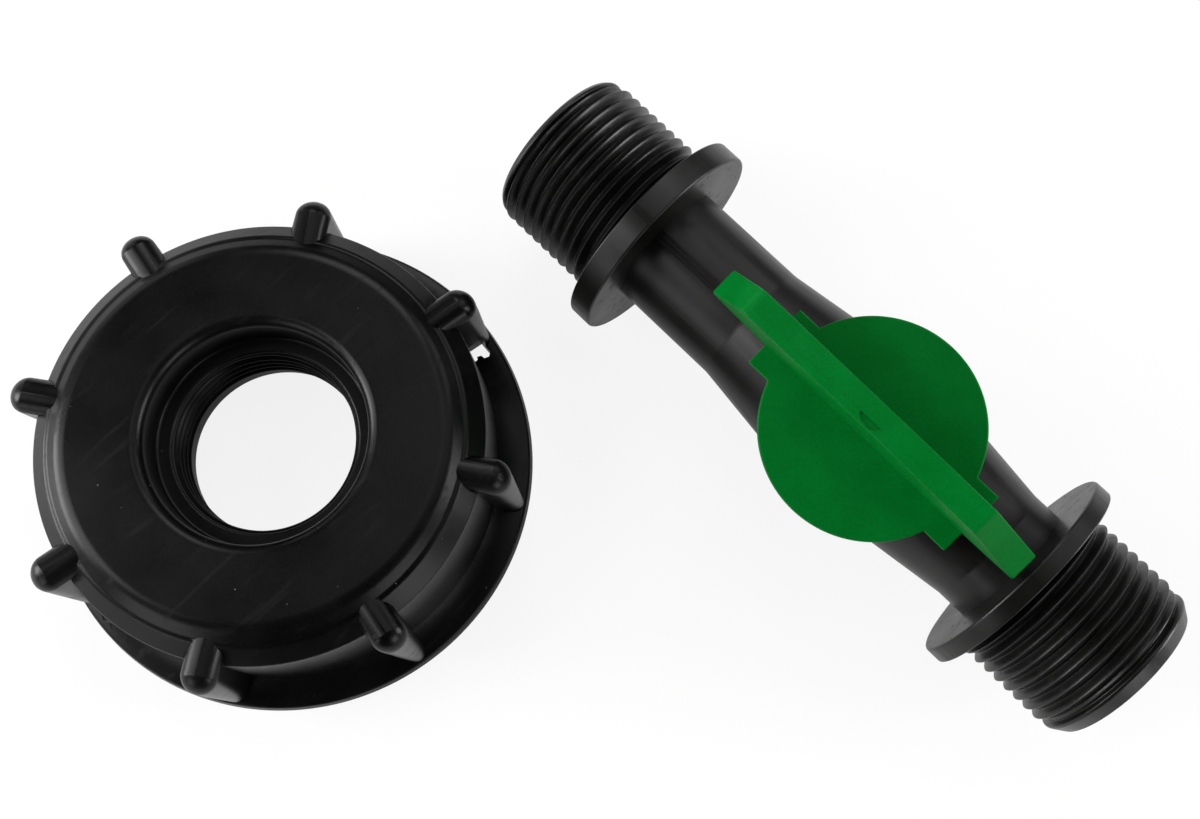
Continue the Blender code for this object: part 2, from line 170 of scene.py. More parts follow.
# the same plastic on the cap, which lay loose in a box: rubbed and dustier, and with painted
# shade: a darker base colour and weaker gloss than the valve's darken the whole cap
scuffedAndShadedPolypropylene = mouldedPlastic("scuffedAndShadedPolypropylene", {
    "colour": "#020202", "cloudColour": "#0c0c0c", "roughness": (0.27, 0.32),
    "cloudSize": 11 * mm, "grainSize": 0.25 * mm, "grainDepth": 0.006 * mm,
    "dustSpacing": 1.6 * mm, "dustSize": 0.12 * mm, "dustColour": "#55534f",
    "rubSize": 1.2 * mm, "rubStretch": (1.0, 0.08, 1.0), "ior": 1.49, "specular": 0.16})
# acetal, dyed green: denser and waxier, a soft gloss
greenAcetal = mouldedPlastic("greenAcetal", {
    "colour": "#005d1d", "cloudColour": "#006824", "roughness": (0.34, 0.42),
    "cloudSize": 6 * mm, "grainSize": 0.3 * mm, "grainDepth": 0.008 * mm,
    "dustSpacing": 3.0 * mm, "dustSize": 0.08 * mm, "dustColour": "#1c8a48",
    "rubSize": 1.5 * mm, "rubStretch": (0.1, 1.0, 1.0), "ior": 1.48, "specular": 0.05})
# moulded nitrile rubber: dull, slightly dusty
nitrileRubber = mouldedPlastic("nitrileRubber", {
    "colour": "#121212", "cloudColour": "#1c1c1b", "roughness": (0.55, 0.7),
    "cloudSize": 5 * mm, "grainSize": 0.2 * mm, "grainDepth": 0.01 * mm,
    "dustSpacing": 1.5 * mm, "dustSize": 0.1 * mm, "dustColour": "#55534f",
    "rubSize": 1.0 * mm, "rubStretch": (1.0, 1.0, 1.0), "ior": 1.52, "specular": 0.4})
print("materials made")


# mesh tools
def roundedOutline(corners, segments=4):
    # a corner is (along, radius), with its rounding as a third value if it has one
    points = []
    for i, corner in enumerate(corners):
        here = Vector(corner[:2])
        fillet = corner[2] if len(corner) > 2 else 0.0
        if fillet <= 0:
            points.append(here)
            continue
        back = (Vector(corners[i - 1][:2]) - here).normalized()
        ahead = (Vector(corners[(i + 1) % len(corners)][:2]) - here).normalized()
        half = back.angle(ahead) / 2
        reach = fillet / math.tan(half)
        centre = here + (back + ahead).normalized() * (fillet / math.sin(half))
        start = here + back * reach - centre
        end = here + ahead * reach - centre
        sweep = start.angle_signed(end)
        for k in range(segments + 1):
            turned = Matrix.Rotation(-sweep * k / segments, 2) @ start
            points.append(centre + turned)
    return points


def mirrored(side, corners):
    return [(side * corner[0],) + corner[1:] for corner in corners]


def turnedForm(outline, steps, axis="Z", merge=1e-7):
    form = bmesh.new()
    ring = [form.verts.new((radius, 0, along) if axis == "Z" else (along, 0, radius))
            for along, radius in outline]
    edges = [form.edges.new((ring[i - 1], ring[i])) for i in range(len(ring))]
    bmesh.ops.spin(form, geom=ring + edges, cent=(0, 0, 0), dvec=(0, 0, 0),
                   axis=(0, 0, 1) if axis == "Z" else (1, 0, 0),
                   angle=math.tau, steps=steps, use_merge=True)
    bmesh.ops.remove_doubles(form, verts=form.verts, dist=merge)
    bmesh.ops.dissolve_degenerate(form, edges=form.edges, dist=merge)
    return form


def loftedForm(rings, closed=False):
    form = bmesh.new()
    rows = [[form.verts.new(point) for point in ring] for ring in rings]
    pairs = list(zip(rows, rows[1:])) + ([(rows[-1], rows[0])] if closed else [])
    for low, high in pairs:
        for i in range(len(low)):
            form.faces.new((low[i - 1], low[i], high[i], high[i - 1]))
    if not closed:
        form.faces.new(rows[0])
        form.faces.new(rows[-1])
    return form


def blockForm(low, high):
    corners = [(low[0], low[1]), (high[0], low[1]), (high[0], high[1]), (low[0], high[1])]
    return loftedForm([[(x, y, z) for x, y in corners] for z in (low[2], high[2])])


def addPiece(name, form, material=None):
    bmesh.ops.recalc_face_normals(form, faces=form.faces)
    mesh = bpy.data.meshes.new(name)
    form.to_mesh(mesh)
    form.free()
    piece = bpy.data.objects.new(name, mesh)
    bpy.context.scene.collection.objects.link(piece)
    if material:
        mesh.materials.append(material)
    return piece


def applyModifiers(piece):
    bpy.context.view_layer.update()
    mesh = bpy.data.meshes.new_from_object(
        piece.evaluated_get(bpy.context.evaluated_depsgraph_get()))
    piece.modifiers.clear()
    piece.data = mesh
    return piece


def bevelled(piece, width, segments=3, angle=40):
    bevel = piece.modifiers.new("softEdges", "BEVEL")
    bevel.width = width
    bevel.segments = segments
    bevel.limit_method = "ANGLE"
    bevel.angle_limit = math.radians(angle)
    return applyModifiers(piece)


def combine(piece, others, operation):
    for other in others:
        step = piece.modifiers.new("combine", "BOOLEAN")
        step.operation = operation
        step.solver = "MANIFOLD"
        step.object = other
        other.hide_render = True
    applyModifiers(piece)
    for other in others:
        bpy.data.objects.remove(other)
    return piece


def finishPiece(piece, place, body, replaced=None, sharp=32):
    piece.data.transform(place)
    piece.data.shade_smooth()
    piece.data.set_sharp_from_angle(angle=math.radians(sharp))
    normals = piece.modifiers.new("evenNormals", "WEIGHTED_NORMAL")
    normals.keep_sharp = True
    applyModifiers(piece)
    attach(piece, body)
    if replaced:
        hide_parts(replaced)
    return piece


def newTree(name, sockets):
    tree = bpy.data.node_groups.new(name, "GeometryNodeTree")
    for label, kind in sockets.items():
        tree.interface.new_socket(label, in_out="INPUT", socket_type="NodeSocket" + kind)
    tree.interface.new_socket("Geometry", in_out="OUTPUT", socket_type="NodeSocketGeometry")
    return tree, addNode(tree, "NodeGroupInput").outputs


def evaluateTree(name, tree, values):
    carrier = bpy.data.objects.new(name, bpy.data.meshes.new(name + "Start"))
    bpy.context.scene.collection.objects.link(carrier)
    modifier = carrier.modifiers.new("nodes", "NODES")
    modifier.node_group = tree
    for socket in tree.interface.items_tree:
        if socket.item_type == "SOCKET" and socket.name in values:
            modifier[socket.identifier] = values[socket.name]
    applyModifiers(carrier)
    form = bmesh.new()
    form.from_mesh(carrier.data)
    bmesh.ops.recalc_face_normals(form, faces=form.faces)
    form.to_mesh(carrier.data)
    form.free()
    return carrier


# screw threads: a sleeve whose outer face carries the helix
thread = {"rounding": 0.55, "merge": 1e-6, "rowsPerTurn": 16, "sharp": 60}
threadTree, given = newTree("screwThread", {
    "Length": "Float", "Pitch": "Float", "Crest Radius": "Float", "Root Radius": "Float",
    "Wall Radius": "Float", "Start Runout": "Float", "End Runout": "Float", "Rows": "Int",
    "Steps": "Int", "Material": "Material"})
threadLength, threadPitch, threadRows = given["Length"], given["Pitch"], given["Rows"]
# past the outer face's rows come three more: the inner wall's end, its start, and the close
grid = addNode(threadTree, "GeometryNodeMeshGrid",
               {"Size X": 1.0, "Size Y": 1.0, "Vertices Y": given["Steps"],
                "Vertices X": calc(threadTree, "ADD", threadRows, 4.0)}).outputs["Mesh"]
spot = splitPosition(threadTree)
row = calc(threadTree, "MULTIPLY", calc(threadTree, "ADD", spot[0], 0.5),
           calc(threadTree, "ADD", threadRows, 3.0))
turnShare = calc(threadTree, "ADD", spot[1], 0.5)


def rowIs(comparison, pastOuter):
    limit = calc(threadTree, "ADD", threadRows, pastOuter)
    return addNode(threadTree, "FunctionNodeCompare", {0: row, 1: limit},
                   data_type="FLOAT", operation=comparison).outputs[0]


def switched(switch, off, on):
    return addNode(threadTree, "GeometryNodeSwitch", {"Switch": switch, "False": off, "True": on},
                   input_type="FLOAT").outputs[0]


# the rows slant with the helix, so that crest and root each follow one
slanted = remap(threadTree, calc(threadTree, "MINIMUM", row, threadRows), (0.0, threadRows),
                (0.0, calc(threadTree, "ADD", threadLength, threadPitch)))
behind = calc(threadTree, "MULTIPLY", calc(threadTree, "SUBTRACT", 1.0, turnShare), threadPitch)
alongOuter = addNode(threadTree, "ShaderNodeClamp",
                     {"Value": calc(threadTree, "SUBTRACT", slanted, behind),
                      "Min": 0.0, "Max": threadLength}).outputs[0]
along = switched(rowIs("GREATER_THAN", 1.5), alongOuter, 0.0)
phase = calc(threadTree, "SUBTRACT", calc(threadTree, "DIVIDE", along, threadPitch), turnShare)
# straight flanks, a little rounded at crest and root
rising = calc(threadTree, "MULTIPLY", calc(threadTree, "PINGPONG", phase, 0.5), 2.0)
rounded = remap(threadTree, rising, (0.0, 1.0), interpolation_type="SMOOTHSTEP")
ridgeShape = addNode(threadTree, "ShaderNodeMix",
                     {0: thread["rounding"], 2: rising, 3: rounded},
                     data_type="FLOAT").outputs[0]
remaining = calc(threadTree, "SUBTRACT", threadLength, along)
startFade = remap(threadTree, along, (0.0, given["Start Runout"]),
                  interpolation_type="SMOOTHSTEP")
endFade = remap(threadTree, remaining, (0.0, given["End Runout"]),
                interpolation_type="SMOOTHSTEP")
height = calc(threadTree, "MULTIPLY", ridgeShape,
              calc(threadTree, "MULTIPLY", startFade, endFade))
outerRadius = remap(threadTree, height, (0.0, 1.0), (given["Root Radius"], given["Crest Radius"]))
innerRows = addNode(threadTree, "FunctionNodeBooleanMath",
                    {0: rowIs("GREATER_THAN", 0.5), 1: rowIs("LESS_THAN", 2.5)},
                    operation="AND").outputs[0]
radius = switched(innerRows, outerRadius, given["Wall Radius"])
angle = calc(threadTree, "MULTIPLY", turnShare, math.tau)
across = calc(threadTree, "MULTIPLY", radius, calc(threadTree, "COSINE", angle))
up = calc(threadTree, "MULTIPLY", radius, calc(threadTree, "SINE", angle))
placed = addNode(threadTree, "GeometryNodeSetPosition",
                 {"Geometry": grid,
                  "Position": joinXYZ(threadTree, {0: along, 1: across, 2: up})}).outputs[0]
sealed = addNode(threadTree, "GeometryNodeMergeByDistance",
                 {"Geometry": placed, "Distance": thread["merge"]}).outputs[0]
realizeAndPaint(threadTree, sealed, given["Material"])


def threadPiece(name, sizes, place, ridesOn):
    # a whole number of rows in each turn lets the seam close
    perTurn = thread["rowsPerTurn"]
    turns = round(sizes["Length"] / sizes["Pitch"] * perTurn) / perTurn
    sizes["Length"] = turns * sizes["Pitch"]
    sizes["Rows"] = round((turns + 1) * perTurn)
    piece = evaluateTree(name, threadTree, sizes)
    return finishPiece(piece, place, ridesOn, sharp=thread["sharp"])


# valve body
body = {
    # a pair gives the size at the inlet, then at the outlet
    "collarRadius": 16.8 * mm, "collarEdge": 0.4 * mm, "collarFaceEdge": 0.24 * mm,
    "inletCollar": 40.9 * mm, "inletCollarWidth": 3.8 * mm, "inletThread": 19.3 * mm,
    "outletCollar": 27.4 * mm, "outletCollarWidth": 2.6 * mm, "outletThread": 18.5 * mm,
    "threadRoot": 12.22 * mm, "threadCrest": 13.2 * mm, "threadPitch": 1.814 * mm,
    "threadWall": 11.0 * mm, "threadSteps": 145, "threadOverlap": 0.1 * mm,
    "threadSink": 0.02 * mm, "startRunout": 0.2 * mm, "endRunout": (0.6 * mm, 1.2 * mm),
    "rootFillet": 0.3 * mm,
    # the plain ring past each thread
    "pilotRadius": (12.75 * mm, 12.95 * mm), "pilotLength": (1.3 * mm, 2.6 * mm),
    "pilotStep": 0.3 * mm, "pilotEdge": 0.15 * mm,
    "chamferRun": (0.65 * mm, 1.9 * mm), "chamferDrop": (0.5 * mm, 1.3 * mm),
    "endEdge": 0.25 * mm,
    "mouthRadius": 9.6 * mm, "mouthDepth": 12.0 * mm, "mouthTaper": 6.0 * mm,
    "mouthFlare": 0.5 * mm, "mouthEdge": 0.2 * mm, "mouthBlend": 1.0 * mm,
    "tubeRadius": 9.67 * mm, "flowRadius": 7.2 * mm,
    "flareRadius": 11.6 * mm, "flareStart": 23.2 * mm, "flareEnd": 8.0 * mm,
    "flareStartRounding": (6.0 * mm, 2.5 * mm), "flareEndRounding": 4.0 * mm,
    "barrelRadius": 15.2 * mm, "barrelTop": 11.6 * mm, "barrelFoot": 13.55 * mm,
    "barrelTopEdge": 0.3 * mm, "barrelFootEdge": 0.5 * mm, "barrelFillet": 0.8 * mm,
    "plugBore": 12.0 * mm, "lipBore": 13.2 * mm, "lipRoom": 1.55 * mm,
    "seatReach": 13.7 * mm, "seatRadius": 9.0 * mm, "steps": 160,
}
# how far the shapes that cut go past what they cut, and how many sides they have
cutter = {"mouthPast": 2.0 * mm, "borePast": 20.0 * mm, "steps": 96, "flowSteps": 128}
inletFace = body["inletCollar"] + body["inletCollarWidth"]
outletFace = body["outletCollar"] + body["outletCollarWidth"]
inletEnd = inletFace + body["inletThread"]
outletEnd = outletFace + body["outletThread"]


def bodyHalf(collar, face, end, side):
    pilotRadius, pilotLength, run, drop = (
        body[key][side > 0]
        for key in ("pilotRadius", "pilotLength", "chamferRun", "chamferDrop"))
    threadEnd = end - pilotLength
    return mirrored(side, [
        (collar, body["tubeRadius"]),
        (collar, body["collarRadius"], body["collarEdge"]),
        (face, body["collarRadius"], body["collarFaceEdge"]),
        (face, body["threadRoot"], body["rootFillet"]),
        (threadEnd, body["threadRoot"], body["pilotEdge"]),
        (threadEnd + body["pilotStep"], pilotRadius, body["pilotEdge"]),
        (end - run, pilotRadius, run / 3),
        (end, pilotRadius - drop, body["endEdge"]),
        (end, 0.0),
    ])


outline = (list(reversed(bodyHalf(body["inletCollar"], inletFace, inletEnd, -1)))
           + [(-body["flareStart"], body["tubeRadius"], body["flareStartRounding"][0]),
              (-body["flareEnd"], body["flareRadius"], body["flareEndRounding"]),
              (body["flareEnd"], body["flareRadius"], body["flareEndRounding"]),
              (body["flareStart"], body["tubeRadius"], body["flareStartRounding"][1])]
           + bodyHalf(body["outletCollar"], outletFace, outletEnd, 1))
valveBody = addPiece("valveBody", turnedForm(roundedOutline(outline), body["steps"], "X"),
                     blackPolypropylene)
barrelOutline = [(body["barrelTop"], 0.0),
                 (body["barrelTop"], body["barrelRadius"], body["barrelTopEdge"]),
                 (-body["barrelFoot"], body["barrelRadius"], body["barrelFootEdge"]),
                 (-body["barrelFoot"], 0.0)]
barrel = addPiece("barrel", turnedForm(roundedOutline(barrelOutline), body["steps"]))

# a ball rolled along the corner between flare and barrel leaves a strip as fillet, whose
# edges sink a little into both; its place is found by halving the range from near to far
strip = {"rings": 120, "arcs": 8, "near": 2.0 * mm, "far": 22.0 * mm, "halvings": 40,
         "sink": 0.02 * mm, "depth": 0.5 * mm}


def flareRadiusAt(x):
    share = (abs(x) - body["flareEnd"]) / (body["flareStart"] - body["flareEnd"])
    share = min(1.0, max(0.0, share))
    return body["flareRadius"] + (body["tubeRadius"] - body["flareRadius"]) * share


def barrelFilletForm(side):
    ball = body["barrelFillet"]
    slope = ((body["flareRadius"] - body["tubeRadius"])
             / (body["flareStart"] - body["flareEnd"]))
    length = math.hypot(1, slope)
    rings = []
    for i in range(strip["rings"]):
        turn = math.tau * i / strip["rings"]
        low, high = strip["near"], strip["far"]
        for _ in range(strip["halvings"]):
            x = (low + high) / 2
            out = flareRadiusAt(x) + ball / length
            centre = Vector((x + ball * slope / length, out * math.cos(turn),
                             out * math.sin(turn)))
            if math.hypot(centre.x, centre.y) > body["barrelRadius"] + ball:
                high = x
            else:
                low = x
        fromTube = Vector((slope, math.cos(turn), math.sin(turn))).normalized()
        fromBarrel = Vector((centre.x, centre.y, 0)).normalized()
        ring = []
        for k in range(strip["arcs"] + 1):
            away = fromBarrel.slerp(fromTube, k / strip["arcs"])
            sink = strip["sink"] if k in (0, strip["arcs"]) else 0
            ring.append(centre - away * (ball + sink))
        ring.append(centre - fromTube * (ball + strip["depth"]))
        ring.append(centre - fromBarrel * (ball + strip["depth"]))
        rings.append([Vector((side * p.x, p.y, p.z)) for p in ring])
    return loftedForm(rings, closed=True)


fillets = [addPiece("barrelFillet", barrelFilletForm(side)) for side in (-1, 1)]
combine(valveBody, [barrel] + fillets, "UNION")

lipTop = body["lipRoom"] - body["barrelFoot"]
plugBore = addPiece("plugBore", turnedForm([
    (cutter["borePast"], 0.0), (cutter["borePast"], body["plugBore"]),
    (lipTop, body["plugBore"]), (lipTop, body["lipBore"]),
    (-cutter["borePast"], body["lipBore"]), (-cutter["borePast"], 0.0)], cutter["steps"]))


def mouthOutline(end, side):
    past = end + cutter["mouthPast"]
    rimRadius = body["mouthRadius"] + body["mouthFlare"]
    taperStart = end - body["mouthDepth"]
    return mirrored(side, [
        (past, 0.0), (past, rimRadius), (end, rimRadius, body["mouthEdge"]),
        (end - body["mouthFlare"], body["mouthRadius"], body["mouthEdge"]),
        (taperStart, body["mouthRadius"], body["mouthBlend"]),
        (taperStart - body["mouthTaper"], body["flowRadius"], body["mouthBlend"])])


def roundBar(name, reach, radius):
    return addPiece(name, turnedForm([(-reach, 0.0), (-reach, radius), (reach, radius),
                                      (reach, 0.0)], cutter["steps"], "X"))


flowBore = addPiece("flowBore", turnedForm(roundedOutline(
    mouthOutline(inletEnd, -1) + list(reversed(mouthOutline(outletEnd, 1)))),
    cutter["flowSteps"], "X"))
seatPocket = roundBar("seatPocket", body["seatReach"], body["seatRadius"])
combine(valveBody, [plugBore, flowBore, seatPocket], "DIFFERENCE")
finishPiece(valveBody, valvePlace, "valve", "valve_body")
print("valve body made")

for name, end, length, side in (("inletThread", -inletEnd, body["inletThread"], -1),
                                ("outletThread", outletEnd, body["outletThread"], 1)):
    start = Matrix.Translation((end - side * length, 0, 0))
    if side < 0:
        start = start @ Matrix.Rotation(math.pi, 4, "Z")
    threadPiece(name, {
        "Length": length - body["pilotLength"][side > 0] + body["threadOverlap"],
        "Pitch": body["threadPitch"], "Crest Radius": body["threadCrest"],
        "Root Radius": body["threadRoot"] - body["threadSink"],
        "Wall Radius": body["threadWall"], "Start Runout": body["startRunout"],
        "End Runout": body["endRunout"][side > 0], "Steps": body["threadSteps"],
        "Material": blackPolypropylene}, valvePlace @ start, "valve")
print("pipe threads made")

# parting lines: fine raised lines that the mould's halves leave along the top
lineTree, given = newTree("partingLines", {
    "From": "Float", "To": "Float", "Count": "Int", "Spacing": "Float", "Thickness": "Float",
    "Tube Radius": "Float", "Flare Radius": "Float", "Flare Start": "Float",
    "Flare End": "Float", "Material": "Material"})
lineShape = {"points": 40, "sides": 6}
strand = addNode(lineTree, "GeometryNodeCurvePrimitiveLine",
                 {"Start": joinXYZ(lineTree, {0: given["From"]}),
                  "End": joinXYZ(lineTree, {0: given["To"]})}).outputs[0]
strand = addNode(lineTree, "GeometryNodeResampleCurve",
                 {"Curve": strand, "Count": lineShape["points"]}).outputs[0]
marks = addNode(lineTree, "GeometryNodeMeshLine",
                {"Count": given["Count"],
                 "Offset": joinXYZ(lineTree, {1: given["Spacing"]})}).outputs[0]
strands = addNode(lineTree, "GeometryNodeInstanceOnPoints",
                  {"Points": marks, "Instance": strand}).outputs[0]
strands = addNode(lineTree, "GeometryNodeRealizeInstances", {0: strands}).outputs[0]
spot = splitPosition(lineTree)
spread = calc(lineTree, "MULTIPLY", calc(lineTree, "SUBTRACT", given["Count"], 1.0),
              given["Spacing"])
aside = calc(lineTree, "SUBTRACT", spot[1], calc(lineTree, "MULTIPLY", spread, 0.5))
wall = remap(lineTree, calc(lineTree, "ABSOLUTE", spot[0]),
             (given["Flare End"], given["Flare Start"]),
             (given["Flare Radius"], given["Tube Radius"]))
turn = calc(lineTree, "ARCSINE", calc(lineTree, "DIVIDE", aside, wall))
rise = calc(lineTree, "MULTIPLY", wall, calc(lineTree, "COSINE", turn))
laid = addNode(lineTree, "GeometryNodeSetPosition",
               {"Geometry": strands,
                "Position": joinXYZ(lineTree, {0: spot[0], 1: aside, 2: rise})}).outputs[0]
profile = addNode(lineTree, "GeometryNodeCurvePrimitiveCircle",
                  {"Resolution": lineShape["sides"], "Radius": given["Thickness"]}).outputs[0]
ridge = addNode(lineTree, "GeometryNodeCurveToMesh",
                {"Curve": laid, "Fill Caps": True, "Profile Curve": profile}).outputs[0]
realizeAndPaint(lineTree, ridge, given["Material"])

# each is drawn a little thicker than it seems in the photo, to show in the render
partingLines = [
    # name, then from, to, count, spacing and thickness in mm, then radius of tube and flare
    ("tubeLines", -40.7, -14.5, 3, 0.62, 0.19, body["tubeRadius"], body["flareRadius"]),
    ("inletCollarLine", -44.5, -41.1, 2, 0.62, 0.17, body["collarRadius"], body["collarRadius"]),
    ("outletCollarLine", 27.6, 29.8, 1, 0.0, 0.07, body["collarRadius"], body["collarRadius"]),
]
for name, first, last, count, spacing, thickness, tube, flare in partingLines:
    lines = evaluateTree(name, lineTree, {
        "From": first * mm, "To": last * mm, "Count": count, "Spacing": spacing * mm,
        "Thickness": thickness * mm, "Tube Radius": tube, "Flare Radius": flare,
        "Flare Start": body["flareStart"], "Flare End": body["flareEnd"],
        "Material": blackPolypropylene})
    finishPiece(lines, valvePlace, "valve")
print("parting lines laid")

# handle and plug
handle = {
    "discRadius": 15.4 * mm, "discBase": 11.9 * mm, "discThickness": 1.8 * mm,
    "discTopEdge": 0.3 * mm, "discFootEdge": 0.25 * mm,
    "plugRadius": 11.7 * mm, "portReach": 14.0 * mm,
    "ringHeight": 9.9 * mm, "grooveHalf": 0.95 * mm, "grooveDepth": 1.6 * mm,
    "lipTop": 1.25 * mm, "lipBase": 0.6 * mm, "lipReach": 1.2 * mm, "lipEdge": 0.15 * mm,
    # the pointers lie a hair under the disc's top, so that no two faces coincide
    "pointerHalf": (18.25 * mm, 5.05 * mm), "pointerLift": 0.02 * mm, "pointerDrop": 0.01 * mm,
    "edge": 0.22 * mm, "bladeEdgeAngle": 25,
    "inletReach": 28.1 * mm, "outletReach": 26.4 * mm,
    "inletShoulder": 21.9 * mm, "outletShoulder": 17.9 * mm,
    "crown": 15.0 * mm, "inletDrop": 0.25 * mm, "outletDrop": 0.9 * mm,
    "crease": 3.6 * mm, "creaseRounding": 40.0 * mm, "bladeFoot": 0.6 * mm,
    "tipRise": 3.5 * mm, "tipDepth": 2.2 * mm, "shoulderRounding": 1.6 * mm,
    "tipSlant": (1.3 * mm, 0.5 * mm), "tipRounding": (0.4 * mm, 0.3 * mm, 0.35 * mm),
    "rootBack": 1.0 * mm,
    "footWidth": 4.3 * mm, "topWidth": 3.9 * mm, "bladeAside": 0.4 * mm,
    "bladeSegments": 6, "sharp": 30,
    # how the handle lies in its play
    "restTurn": math.radians(-0.7),
}
discTop = handle["discBase"] + handle["discThickness"]
foot = -body["barrelFoot"]
plugRadius = handle["plugRadius"]
grooveRadius = plugRadius - handle["grooveDepth"]
lipRadius = plugRadius + handle["lipReach"]
plugOutline = [(discTop, 0.0), (discTop, handle["discRadius"], handle["discTopEdge"]),
               (handle["discBase"], handle["discRadius"], handle["discFootEdge"]),
               (handle["discBase"], plugRadius)]
for middle in (handle["ringHeight"], -handle["ringHeight"]):
    plugOutline += [(middle + handle["grooveHalf"], plugRadius),
                    (middle + handle["grooveHalf"], grooveRadius),
                    (middle - handle["grooveHalf"], grooveRadius),
                    (middle - handle["grooveHalf"], plugRadius)]
plugOutline += [(foot + handle["lipTop"], plugRadius),
                (foot + handle["lipTop"], lipRadius, handle["lipEdge"]),
                (foot + handle["lipBase"], lipRadius, handle["lipEdge"]),
                (foot, plugRadius, handle["lipEdge"]), (foot, 0.0)]
plugHandle = addPiece("plugHandle", turnedForm(roundedOutline(plugOutline), body["steps"]),
                      greenAcetal)
combine(plugHandle, [roundBar("port", handle["portReach"], body["flowRadius"])], "DIFFERENCE")

pointerX, pointerY = handle["pointerHalf"]
pointer = bevelled(addPiece("pointer", blockForm(
    (-pointerX, -pointerY, handle["discBase"] + handle["pointerLift"]),
    (pointerX, pointerY, discTop - handle["pointerDrop"]))), handle["edge"])

crown = discTop + handle["crown"]
bladeBase = handle["discBase"] + handle["bladeFoot"]
tipTop = discTop + handle["tipRise"]
tipFoot = tipTop - handle["tipDepth"]


def bladeEnd(reach, shoulder, drop, side):
    slantRun, slantRise = handle["tipSlant"]
    footRounding, cornerRounding, topRounding = handle["tipRounding"]
    return mirrored(side, [
        (pointerX - handle["rootBack"], bladeBase), (reach - slantRun, tipFoot, footRounding),
        (reach, tipFoot + slantRise, cornerRounding), (reach, tipTop, topRounding),
        (shoulder, crown - drop, handle["shoulderRounding"])])


bladeSide = roundedOutline(
    bladeEnd(handle["outletReach"], handle["outletShoulder"], handle["outletDrop"], 1)
    + [(handle["crease"], crown, handle["creaseRounding"])]
    + list(reversed(bladeEnd(handle["inletReach"], handle["inletShoulder"],
                             handle["inletDrop"], -1))), handle["bladeSegments"])


def bladeHalfWidth(z):
    share = (z - bladeBase) / (crown - bladeBase)
    return (handle["footWidth"] + (handle["topWidth"] - handle["footWidth"]) * share) / 2


blade = bevelled(addPiece("blade", loftedForm(
    [[(p.x, side * bladeHalfWidth(p.y) + handle["bladeAside"], p.y) for p in bladeSide]
     for side in (-1, 1)])), handle["edge"], angle=handle["bladeEdgeAngle"])
combine(plugHandle, [pointer, blade], "UNION")

# the gate's scar: half a lens, sunk into the crown beside the parting line
gate = {
    "middle": -0.8 * mm, "line": -0.25 * mm, "half": 1.9 * mm, "width": 1.1 * mm,
    # heights about the crown, each with the share of its full size that the lens has there
    "levels": ((-0.22 * mm, 0.72), (-0.1 * mm, 0.93), (0.6 * mm, 1.0)),
    "sink": 0.1 * mm, "points": 16,
}
scarRings = []
for level, share in gate["levels"]:
    scarRings.append([Vector((gate["middle"] + gate["half"] * share * math.cos(turn),
                              gate["line"] + gate["width"] * share * min(0.0, math.sin(turn)),
                              crown + level - gate["sink"]))
                      for turn in [math.pi * (1 + k / (gate["points"] - 1))
                                   for k in range(gate["points"])]])
combine(plugHandle, [addPiece("gateScar", loftedForm(scarRings))], "DIFFERENCE")
handlePlace = valvePlace @ Matrix.Rotation(handle["restTurn"], 4, "Z")
finishPiece(plugHandle, handlePlace, "handle", "plug_handle",
            sharp=handle["sharp"])

# the blade's parting line: stations along it in mm, from the inlet's shoulder to the scar
bladeLine = {"stations": range(-21, -2), "radius": 0.05 * mm, "sink": 0.02 * mm, "sides": 8}


def crownHeight(x):
    share = (handle["crease"] - x) / (handle["crease"] + handle["inletShoulder"])
    return crown - handle["inletDrop"] * max(0.0, share)


def ridgeForm(points, radius, sides):
    rings = []
    for i, point in enumerate(points):
        ahead = points[min(i + 1, len(points) - 1)] - points[max(i - 1, 0)]
        across = ahead.cross(Vector((0, 0, 1))).normalized()
        upwards = across.cross(ahead).normalized()
        rings.append([point + (across * math.cos(t) + upwards * math.sin(t)) * radius
                      for t in [math.tau * k / sides for k in range(sides)]])
    return loftedForm(rings)


ridgePoints = [Vector((x * mm, gate["line"] + bladeLine["sink"],
                       crownHeight(x * mm) - bladeLine["sink"])) for x in bladeLine["stations"]]
bladePartingLine = addPiece(
    "bladePartingLine", ridgeForm(ridgePoints, bladeLine["radius"], bladeLine["sides"]),
    greenAcetal)
finishPiece(bladePartingLine, handlePlace, "handle")
print("handle made")

# adapter cap
cap = {
    # a pair is a height and a radius
    "height": 25.1 * mm, "flatRadius": 27.0 * mm, "flatRounding": 3.2 * mm,
    # a narrow ledge halfway down the shoulder
    "ledgeInside": (23.6 * mm, 29.0 * mm), "ledgeOutside": (23.45 * mm, 29.55 * mm),
    "ledgeRounding": 1.2 * mm,
    "edgeHeight": 21.2 * mm, "edgeRadius": 31.95 * mm, "footRadius": 32.75 * mm,
    "edgeRounding": 0.5 * mm,
    # the flange's hollow face: a curve from the rim to the wall's foot
    "flangeRadius": 37.8 * mm, "flangeRim": 1.5 * mm, "flangeRise": 3.4 * mm,
    "flangeBend": (2.03 * mm, 34.85 * mm), "flangeSteps": 12,
    "rimEdge": 0.55 * mm, "rimDraft": 0.45 * mm, "rimFootEdge": 0.2 * mm,
    "wall": 2.6 * mm, "plate": 3.1 * mm,
    "cavityFoot": 1.0 * mm, "cavityFlare": 1.0 * mm,
    "recessRadius": 15.6 * mm, "recessDepth": 6.6 * mm, "recessLip": 1.8 * mm,
    "boreRadius": 12.75 * mm, "boreRoot": 13.35 * mm, "boreEdge": 0.4 * mm,
    "boreFoot": 2.8 * mm, "bossFoot": 7.0 * mm, "bossWall": 2.7 * mm, "bossEdge": 0.3 * mm,
    "neckWall": 2.9 * mm, "neckRise": 2.0 * mm, "segments": 7, "steps": 192,
}
rim = Vector((cap["flangeRim"], cap["flangeRadius"] - cap["rimDraft"]))
